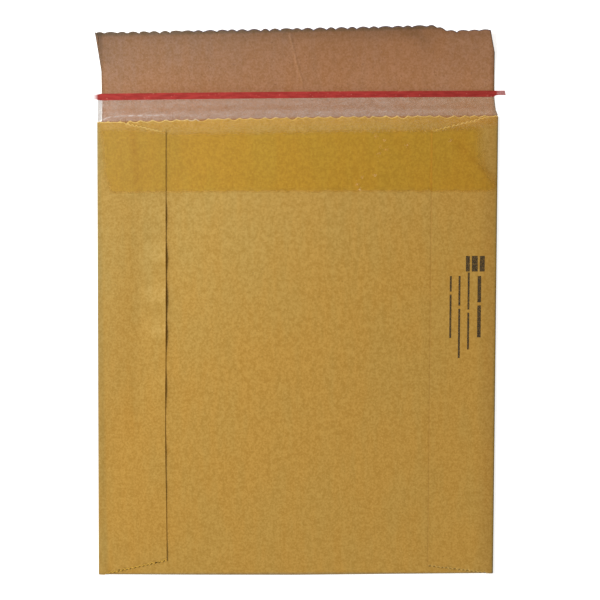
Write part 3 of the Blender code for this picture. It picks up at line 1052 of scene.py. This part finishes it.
def board_edge(name, plain, pale):
    """The cut edge of the board, paler by this tint where it is toothed. Its washes tint it warmer on
    the left, as painted warm shade for the left flap's gap, and bluer towards the upper left. They
    make it darker on the right, as painted shade on edges that face the lamp, and paler at the upper
    right, as a painted highlight on the right flap's upper edge.
    """
    washes = (
        ((-0.02, -1.0), 130.3, 131.0, pale),
        ((0.0, 1.0), 129.6, 130.2, pale),
        # A warmer tint on the left, painted for the warm shade of the left flap's gap
        ((-1.0, 0.0), 60.0, 70.0, (1.2, 1.05, 0.5)),
        ((-0.3, 1.0), 153.0, 153.8, (0.93, 1.19, 3.2)),
        # Painted shade on the right-hand edges, which face the lamp
        ((1.0, 0.0), 60.0, 70.0, (0.85, 0.8, 0.75)),
        # Painted highlight on the right flap's upper edge
        ((0.3, 1.0), 153.6, 154.4, (1.3, 1.4, 1.6)),
    )
    edge = Recipe(name)
    plies = edge.step(edge.grain(0.6, (2.0, 2.0), 3.0, 2.0), 0.3, 0.7)
    colour = edge.washes(edge.mix(plies, toned(plain, 0.8), plain), washes)
    return edge.surfaced({"Base Color": colour, "Roughness": 0.9})


def clear_side():
    """The underside of a clear layer, which lies on what it covers and doesn't show."""
    return Recipe("clear_side").surfaced({"Alpha": 0.0})


# What a user would change


class BoardSettings(bpy.types.PropertyGroup):
    """The kraft board."""

    outer_colour: bpy.props.FloatVectorProperty(
        name="Outer face",
        description="Colour of the smooth golden face",
        subtype="COLOR", min=0.0, max=1.0, default=linear(186, 143, 63),
    )
    inner_colour: bpy.props.FloatVectorProperty(
        name="Inner face",
        description="Colour of the browner inner face",
        subtype="COLOR", min=0.0, max=1.0, default=linear(166, 118, 81),
    )
    fibre_contrast: bpy.props.FloatProperty(
        name="Fibre contrast",
        description="How strongly the fibres show",
        subtype="FACTOR", min=0.0, max=0.4, default=0.108,
    )


class BandSettings(bpy.types.PropertyGroup):
    """The adhesive band."""

    colour: bpy.props.FloatVectorProperty(
        name="Adhesive",
        description="Colour of the wetted board under the adhesive",
        subtype="COLOR", min=0.0, max=1.0, default=(0.4735, 0.247, 0.012),
    )
    cover: bpy.props.FloatProperty(
        name="Cover",
        description="How much the adhesive hides the dry look of the board",
        subtype="FACTOR", min=0.0, max=1.0, default=0.8,
    )
    contrast: bpy.props.FloatProperty(
        name="Fibre contrast",
        description="How strongly the fibres show through the adhesive",
        subtype="FACTOR", min=0.0, max=0.4, default=0.1,
    )


class FilmSettings(bpy.types.PropertyGroup):
    """The clear release film."""

    colour: bpy.props.FloatVectorProperty(
        name="Haze",
        description="Colour of the film's haze",
        subtype="COLOR", min=0.0, max=1.0, default=(0.8, 0.71, 0.635),
    )
    haze: bpy.props.FloatProperty(
        name="Haze past the mouth",
        description="How milky the film is where nothing lies against it",
        subtype="FACTOR", min=0.0, max=1.0, default=0.19,
    )
    haze_on_board: bpy.props.FloatProperty(
        name="Tint on the board",
        description="How strongly the film tints the board where it lies loose on it",
        subtype="FACTOR", min=0.0, max=1.0, default=0.25,
    )


class StripSettings(bpy.types.PropertyGroup):
    """The red pull strip."""

    colour: bpy.props.FloatVectorProperty(
        name="Strip",
        description="Colour of the pull strip",
        subtype="COLOR", min=0.0, max=1.0, default=linear(168, 51, 46),
    )


class MarkSettings(bpy.types.PropertyGroup):
    """The plain printed bars on the right flap."""

    colour: bpy.props.FloatVectorProperty(
        name="Ink",
        description="Colour of the printed bars",
        subtype="COLOR", min=0.0, max=1.0, default=linear(54, 46, 34),
    )
    cover: bpy.props.FloatProperty(
        name="Ink cover",
        description="How well the ink covers the board",
        subtype="FACTOR", min=0.0, max=1.0, default=0.92,
    )


class StageSettings(bpy.types.PropertyGroup):
    """The floor, the lamps and the camera."""

    key_power: bpy.props.FloatProperty(
        name="Key lamp",
        description="Power of the large soft lamp at the upper left",
        unit="POWER",
        min=0.0,
        default=17.6,
    )
    sky: bpy.props.FloatProperty(
        name="Even light",
        description="Strength of the even light from all round",
        min=0.0,
        default=0.42,
    )
    floor_glow: bpy.props.FloatProperty(
        name="Floor glow",
        description="What the camera sees of the floor on top of its lit colour",
        min=0.0,
        max=1.0,
        default=0.62,
    )
    camera_distance: bpy.props.FloatProperty(
        name="Camera distance",
        description="From the camera to the middle of the mailer",
        unit="LENGTH",
        min=0.3,
        default=1.0,
    )


# The pieces


def make_board(settings):
    """The folded board: address panel, back panel, side flaps and closure flap."""
    sheet = sheet_from(blank_outline())
    crease_blank(sheet)
    outer = tuple(settings.outer_colour)
    inner = tuple(settings.inner_colour)
    materials = [
        inner_face(inner, settings.fibre_contrast),
        outer_face(outer, settings.fibre_contrast),
        # The inner cut edge is painted dark, as shade where the closure flap's edge curls away from
        # the lamp
        board_edge("cut_edge_inner", toned(inner, 0.3), (0.9, 1.0, 1.0)),
        board_edge("cut_edge_outer", toned(outer, 1.1), (1.5, 1.8, 2.6)),
    ]
    mesh = thick_board("mailer_board", sheet, fold_blank, materials)
    board = finish_mesh("mailer_board", mesh)
    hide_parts("kraft_blank")


def fine_columns(half, step):
    """Columns across the mailer, close together at the side flaps' free edges."""
    columns = {-half, *spread(-half, half, step), half}
    for flap in (LEFT_FLAP, RIGHT_FLAP):
        for away in STEP_COLUMNS:
            columns.add(flap.side * (flap.free_edge + away))
    return sorted(columns)


def parts(count):
    """This many equal steps from 0 to 1."""
    return [index / count for index in range(count + 1)]


def make_band(settings):
    """The adhesive band across the back panel and both side flaps."""
    half = HALF_BODY - BAND_SIDE_INSET
    columns = fine_columns(half, BAND_COLUMN)
    low = BAND_BOTTOM - BAND_BELOW

    def place(x, part):
        y = low + (mouth_line(x) - BAND_START + BAND_ABOVE - low) * part
        return x, y, layer_height(BAND_LEVEL, x, y)

    def cover(x, y):
        """The wetted board with its soft outline, and less of it in the left flap's gap."""
        soft = 3.6 + 3.4 * smooth((x - 60.0) / 50.0)
        top = smooth((line_at(WET_EDGE, x) - 0.8 - y + 1.4 * drift(x, y, 5.0, 1.0)) / soft + 0.5)
        foot = smooth((y - BAND_BOTTOM + 1.4 * drift(x, y, 3.5, 4.0)) / 2.6 + 0.35)
        far = line_at(WET_RIGHT if x > 0 else WET_LEFT, y) + 2.4 * drift(x, y, 9.0, 7.0)
        edge = 1.0 - 0.5 * bell((x + LEFT_FLAP.free_edge - 0.4) / 0.5)
        return top * foot * smooth((far - abs(x)) / (4.0 if x < 0 else 11.0) + 0.5) * edge

    def shade(x, y):
        """The board's smears and painted shade, and a line of painted shade along the right flap's
        free edge, where the band's step faces the lamp.
        """
        return smear_and_shade(x, y) + 0.8 * bell((x - RIGHT_FLAP.free_edge + 0.3) / 0.5)

    glue = Recipe("tacky_adhesive")
    colour = paper_colour(glue, tuple(settings.colour), settings.contrast, 1.0)
    # The same painted sheen and fold shade as on the board's outer face
    colour = golden_sheen_shade_and_smears(glue, colour, (0.98, 1.02, 0.85))
    share = glue.math("MULTIPLY", glue.mark("cover"), settings.cover)
    glue.surfaced({"Base Color": colour, "Alpha": share})
    glue.surfaced({"Roughness": 0.5, "Specular IOR Level": 0.25})
    sides = [glue.material, clear_side(), clear_side()]
    marks = {"cover": cover, "smear_and_shade": shade}
    band = slab("adhesive_layer", columns, parts(BAND_ROWS), place, LAYER, sides, marks)
    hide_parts("adhesive_band")


def strip_line(x):
    """The height of the pull strip's middle at x."""
    middle = MOUTH + FILM_REACH - STRIP_WIDTH / 2.0 + STRIP_LIFT
    return middle + STRIP_RISE * x / BODY_WIDTH


def film_ripple(x, y):
    """The film's own creases, bubbles and slack, above the way it lies."""
    past = smooth((y - MOUTH) / 3.0)
    slack = past * (0.2 * drift(x, y, 9.0, 3.0) + 0.06 * drift(x, y, 2.5, 6.0))
    folds = traced(x, y, FILM_CREASES, HEIGHT)
    domes = sum(bell(math.hypot(x - a, y - b) / BUBBLE_RADIUS) for a, b in BUBBLES)
    return min(RIPPLE_MOST, slack + folds + BUBBLE_HEIGHT * domes)


def make_film(settings):
    """The clear release film over the band, reaching out past the mouth."""
    half = HALF_BODY - FILM_SIDE_INSET
    columns = fine_columns(half, FILM_COLUMN)
    low = BAND_BOTTOM - FILM_TAIL

    def place(x, part):
        top = strip_line(x) + STRIP_WIDTH / 2.0
        y = low + (top - low) * part
        return x, y, layer_height(FILM_LEVEL, x, y) + film_ripple(x, y)

    def haze(x, y):
        """How milky the film is: past the mouth, loose on the board and beside the flap."""
        edge = mouth_line(x)
        past = smooth((y - edge + 1.0) / 1.6)
        loose = smooth((y - line_at(WET_EDGE, x) + 2.6) / 3.6)
        side = 0.95 * past * smooth((-x - FLAP_LEFT) / 0.4)
        ply = 1.0 + 0.3 * bell((y - edge - 2.2) / 1.6) - 0.25 * bell((y - edge - 6.0) / 1.5)
        ply *= 1.0 + 0.6 * drift(x / 6.0, y, 1.6, 5.0)
        return settings.haze * past * ply + settings.haze_on_board * loose * (1.0 - past) + side

    def white(x, y):
        """How strongly a white glint is painted on the film's creases and bubbles."""
        folds = traced(x, y, FILM_CREASES, SEEN) * (0.75 + drift(x, y, 2.2, 8.0))
        domes = sum(
            bell(math.hypot(x - a, y - b) / BUBBLE_GLINT_RADIUS) * (0.7 + drift(a, b, 1.0, 2.0))
            for a, b in BUBBLES
        )
        return min(GLINT_MOST, folds + BUBBLE_GLINT * domes)

    film = Recipe("clear_film")
    flecks = film.grain(1.4, (1.3, 1.0), 2.0, 4.0)
    milky = film.math("MULTIPLY", film.mark("haze"), film.step(flecks, 0.25, 0.75, 0.7, 1.3))
    painted_glint_share = film.mark("white")
    back = (0.0139, -1.0)
    # Painted glints on the film's creases and bubbles, in a glint colour that is golden where the
    # film lies on the board
    glint = film.wash((0.84, 0.7, 0.65), back, -139.0, -137.0, (1.0, 0.8, 0.4))
    # The haze colour: golden over the board, a little bluer on the left, greyer past the closure
    # flap's left edge, and painted darker and warmer towards the right, as shade away from the lamp
    washes = (
        (back, -138.4, -137.2, (0.78, 0.43, 0.03)),
        ((-1.0, 0.0), 20.0, 100.0, (0.97, 0.99, 1.03)),
        ((-1.0, 0.0), 117.6, 118.2, (0.78, 0.8, 0.81)),
        ((1.0, 0.0), 40.0, 115.0, (0.92, 0.8, 0.62)),
    )
    colour = film.mix(painted_glint_share, film.washes(tuple(settings.colour), washes), glint)
    film.surfaced({"Base Color": colour, "Alpha": film.math("MAXIMUM", milky, painted_glint_share)})
    film.surfaced({"Roughness": 0.2, "Coat Weight": 0.5})
    film.bump(film.grain(2.5, (1.0, 1.0), 2.0, 14.0), 0.1, 0.5)
    sides = [film.material, clear_side(), clear_side()]
    marks = {"haze": haze, "white": white}
    piece = slab("clear_release_film", columns, parts(FILM_ROWS), place, LAYER, sides, marks)
    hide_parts("release_film")


def make_strip(settings):
    """The red strip on the film's free edge, with both ends standing out past the board."""
    left = -HALF_BODY - STRIP_LEFT_END
    right = HALF_BODY + STRIP_RIGHT_END
    columns = [left, *spread(left, right, STRIP_COLUMN), right]

    def half_width(x):
        """The strip narrows to the right, and outside the board."""
        plain = STRIP_HALF - 0.15 * x / BODY_WIDTH
        outside = smooth((abs(x) - HALF_BODY + 1.5) / 1.5)
        return plain * (1.0 - 0.25 * outside)

    def place(x, part):
        across = 2.0 * part - 1.0
        y = strip_line(x) + across * half_width(x) + 0.5 * smooth((x - HALF_BODY + 1.5) / 1.5)
        slant = 0.5 * part * smooth((x - right + 3.0) / 3.0)
        lift = 0.05 * drift(x, y, 14.0, 2.0)
        return x - slant, y, layer_height(STRIP_LEVEL, x, strip_line(x)) + lift

    def clear(x, y):
        """The strip's ends let a little light through, the left one more."""
        return 1.0 - 0.7 * smooth((-x - HALF_BODY - 0.2) / 1.2) - 0.12 * smooth((x - HALF_BODY) / 1.0)

    red = Recipe("red_strip")
    streak = red.step(red.grain(2.2, (3.0, 0.7), 2.0, 3.0), 0.3, 0.7)
    colour = red.mix(streak, toned(settings.colour, 0.84), toned(settings.colour, 1.12, 0.005))
    glint = red.step(red.grain(0.9, (1.3, 1.0), 0.0, 21.0), 0.76, 0.82, 0.0, 0.5)
    colour = red.mix(glint, colour, linear(206, 126, 106))
    # Painted shade: the strip darkens towards the right, away from the lamp
    colour = red.wash(colour, (1.0, 0.0), 20.0, 100.0, (0.86, 0.85, 0.8))
    red.surfaced({"Base Color": colour, "Alpha": red.mark("clear")})
    red.surfaced({"Roughness": 0.55, "Specular IOR Level": 0.1})
    red.bump(streak, 0.03, 0.6)
    sides = [red.material, clear_side(), red.material]
    rows = parts(STRIP_ROWS)
    piece = slab("red_pull_strip", columns, rows, place, LAYER, sides, {"clear": clear})
    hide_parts("pull_strip")


# Plain printed bars on the right flap: left, right, top and bottom of each, how far the ink
# stands off the board, and how thick it is
BARS = (
    (102.0, 104.4, 55.0, 45.6),
    (105.6, 109.2, 55.0, 45.6),
    (110.4, 113.4, 55.0, 45.6),
    (109.2, 111.4, 42.9, 27.0),
    (109.2, 111.4, 25.2, 5.8),
    (103.2, 104.4, 45.0, 22.6),
    (103.2, 104.4, 20.8, -1.5),
    (97.7, 98.9, 42.9, 25.0),
    (97.7, 98.9, 23.2, -6.6),
    (92.4, 93.6, 42.9, 33.5),
    (92.4, 93.6, 31.7, 5.5),
)
INK_LIFT = 0.03
INK_THICKNESS = 0.02


def make_marks(settings):
    """Plain bars in dark ink, which stand for the print on the right flap."""
    ink = Recipe("dark_ink")
    worn = ink.step(ink.grain(0.9, (1.0, 1.0), 2.0, 8.0), 0.3, 0.62, 0.7, 1.0)
    share = ink.math("MULTIPLY", worn, settings.cover)
    ink.surfaced({"Base Color": tuple(settings.colour), "Alpha": share})
    ink.surfaced({"Roughness": 0.8, "Specular IOR Level": 0.2})
    sides = [ink.material, clear_side(), clear_side()]

    def place(x, y):
        return x, y, FLAP_LEVEL + BOARD + bow(x, y) + INK_LIFT

    for index, (low, high, top, bottom) in enumerate(BARS):
        columns = [low, *spread(low, high, BAR_COLUMN), high]
        rows = [bottom, *spread(bottom, top, BAR_ROW), top]
        name = f"printed_bar_{index + 1:02d}"
        bar = slab(name, columns, rows, place, INK_THICKNESS, sides)


# The stage: the floor's width in metres, the key lamp's place and width in metres, and where
# the camera looks, how it leans and its lens at a metre's distance
FLOOR_SIZE = 6.0
FLOOR_DROP = 0.05
KEY_PLACE = (-1.0, 0.4, 1.05)
KEY_SIZE = 0.6
CAMERA_AIM = (2.4, 28.3, 2.0)
CAMERA_LEAN = (-0.0275, -0.0292)
CAMERA_LENS = 99.1


def seen_rays(nodes, links):
    """1 for what the camera sees, straight or in a gloss or through something clear."""
    path = nodes.new("ShaderNodeLightPath")
    total = path.outputs["Is Camera Ray"]
    for name in ("Is Glossy Ray", "Is Transmission Ray"):
        larger = nodes.new("ShaderNodeMath")
        larger.operation = "MAXIMUM"
        links.new(total, larger.inputs[0])
        links.new(path.outputs[name], larger.inputs[1])
        total = larger.outputs[0]
    return total


def make_floor(settings):
    """A plain pale floor that the camera sees as white, apart from the mailer's shadow."""
    half = FLOOR_SIZE / 2.0
    mesh = bpy.data.meshes.new("floor")
    corners = [(-half, -half), (half, -half), (half, half), (-half, half)]
    mesh.from_pydata([(x, y, -FLOOR_DROP * MM) for x, y in corners], [], [(0, 1, 2, 3)])
    floor = bpy.data.objects.new("floor", mesh)
    bpy.context.scene.collection.objects.link(floor)
    pale = Recipe("pale_floor")
    pale.surfaced({"Base Color": (0.9, 0.9, 0.9), "Roughness": 1.0, "Specular IOR Level": 0.0})
    glow = pale.math("MULTIPLY", seen_rays(pale.nodes, pale.links), settings.floor_glow)
    pale.surfaced({"Emission Color": (1.0, 1.0, 1.0), "Emission Strength": glow})
    mesh.materials.append(pale.material)


def make_light(settings):
    """A large soft lamp at the upper left, and even light from all round."""
    world = bpy.data.worlds.new("even light")
    bpy.context.scene.world = world
    world.use_nodes = True
    nodes = world.node_tree.nodes
    links = world.node_tree.links
    background = nodes["Background"]
    background.inputs["Color"].default_value = (1.0, 1.0, 1.0, 1.0)
    level = nodes.new("ShaderNodeMapRange")
    level.inputs["To Min"].default_value = settings.sky
    level.inputs["To Max"].default_value = 1.0
    links.new(seen_rays(nodes, links), level.inputs["Value"])
    links.new(level.outputs[0], background.inputs["Strength"])
    lamp = bpy.data.lights.new("key", "AREA")
    lamp.shape = "DISK"
    lamp.size = KEY_SIZE
    lamp.energy = settings.key_power
    key = bpy.data.objects.new("key", lamp)
    key.location = KEY_PLACE
    aim = Vector((0.0, 0.0, 0.0)) - Vector(KEY_PLACE)
    key.rotation_mode = "QUATERNION"
    key.rotation_quaternion = aim.to_track_quat("-Z", "Y")
    bpy.context.scene.collection.objects.link(key)


def make_camera(settings):
    """A camera that looks down on the mailer, very slightly from its upper right."""
    forward = Vector((*CAMERA_LEAN, -1.0)).normalized()
    right = forward.cross(Vector((0.0, 1.0, 0.0))).normalized()
    up = right.cross(forward)
    camera = bpy.data.objects.new("camera", bpy.data.cameras.new("camera"))
    camera.data.lens = CAMERA_LENS * settings.camera_distance
    turn = Matrix((right, up, -forward)).transposed()
    place = Vector(CAMERA_AIM) * MM - forward * settings.camera_distance
    camera.matrix_world = Matrix.Translation(place) @ turn.to_4x4()
    bpy.context.scene.collection.objects.link(camera)
    bpy.context.scene.camera = camera


def make_stage(settings):
    """The floor, the lamps and the camera."""
    make_floor(settings)
    make_light(settings)
    make_camera(settings)
    bpy.context.scene.view_settings.view_transform = "Standard"


# The add-on


class MAILER_OT_board(bpy.types.Operator):
    """Add the folded kraft board"""

    bl_idname = "mailer.board"
    bl_label = "Folded board"

    def execute(self, context):
        make_board(context.scene.mailer_board)
        return {"FINISHED"}


class MAILER_OT_band(bpy.types.Operator):
    """Add the adhesive band"""

    bl_idname = "mailer.band"
    bl_label = "Adhesive band"

    def execute(self, context):
        make_band(context.scene.mailer_band)
        return {"FINISHED"}


class MAILER_OT_film(bpy.types.Operator):
    """Add the clear release film"""

    bl_idname = "mailer.film"
    bl_label = "Release film"

    def execute(self, context):
        make_film(context.scene.mailer_film)
        return {"FINISHED"}


class MAILER_OT_strip(bpy.types.Operator):
    """Add the red pull strip"""

    bl_idname = "mailer.strip"
    bl_label = "Pull strip"

    def execute(self, context):
        make_strip(context.scene.mailer_strip)
        return {"FINISHED"}


class MAILER_OT_marks(bpy.types.Operator):
    """Add the plain printed bars"""

    bl_idname = "mailer.marks"
    bl_label = "Printed bars"

    def execute(self, context):
        make_marks(context.scene.mailer_marks)
        return {"FINISHED"}


class MAILER_OT_stage(bpy.types.Operator):
    """Add the floor, the lamps and the camera"""

    bl_idname = "mailer.stage"
    bl_label = "Stage"

    def execute(self, context):
        make_stage(context.scene.mailer_stage)
        return {"FINISHED"}


class MAILER_PT_panel(bpy.types.Panel):
    """The mailer's pieces and their settings"""

    bl_idname = "MAILER_PT_panel"
    bl_label = "Rigid mailer"
    bl_space_type = "VIEW_3D"
    bl_region_type = "UI"
    bl_category = "Mailer"

    def draw(self, context):
        for operator, group, settings in PIECES:
            box = self.layout.box()
            for name in settings.__annotations__:
                box.prop(getattr(context.scene, group), name)
            box.operator(operator.bl_idname)


PIECES = (
    (MAILER_OT_board, "mailer_board", BoardSettings),
    (MAILER_OT_band, "mailer_band", BandSettings),
    (MAILER_OT_film, "mailer_film", FilmSettings),
    (MAILER_OT_strip, "mailer_strip", StripSettings),
    (MAILER_OT_marks, "mailer_marks", MarkSettings),
    (MAILER_OT_stage, "mailer_stage", StageSettings),
)


def register():
    for operator, group, settings in PIECES:
        bpy.utils.register_class(settings)
        bpy.utils.register_class(operator)
        setattr(bpy.types.Scene, group, bpy.props.PointerProperty(type=settings))
    bpy.utils.register_class(MAILER_PT_panel)


def unregister():
    bpy.utils.unregister_class(MAILER_PT_panel)
    for operator, group, settings in reversed(PIECES):
        delattr(bpy.types.Scene, group)
        bpy.utils.unregister_class(operator)
        bpy.utils.unregister_class(settings)


def main():
    register()
    bpy.ops.mailer.board()
    bpy.ops.mailer.band()
    bpy.ops.mailer.film()
    bpy.ops.mailer.strip()
    bpy.ops.mailer.marks()
    bpy.ops.mailer.stage()


if __name__ == "__main__":
    main()
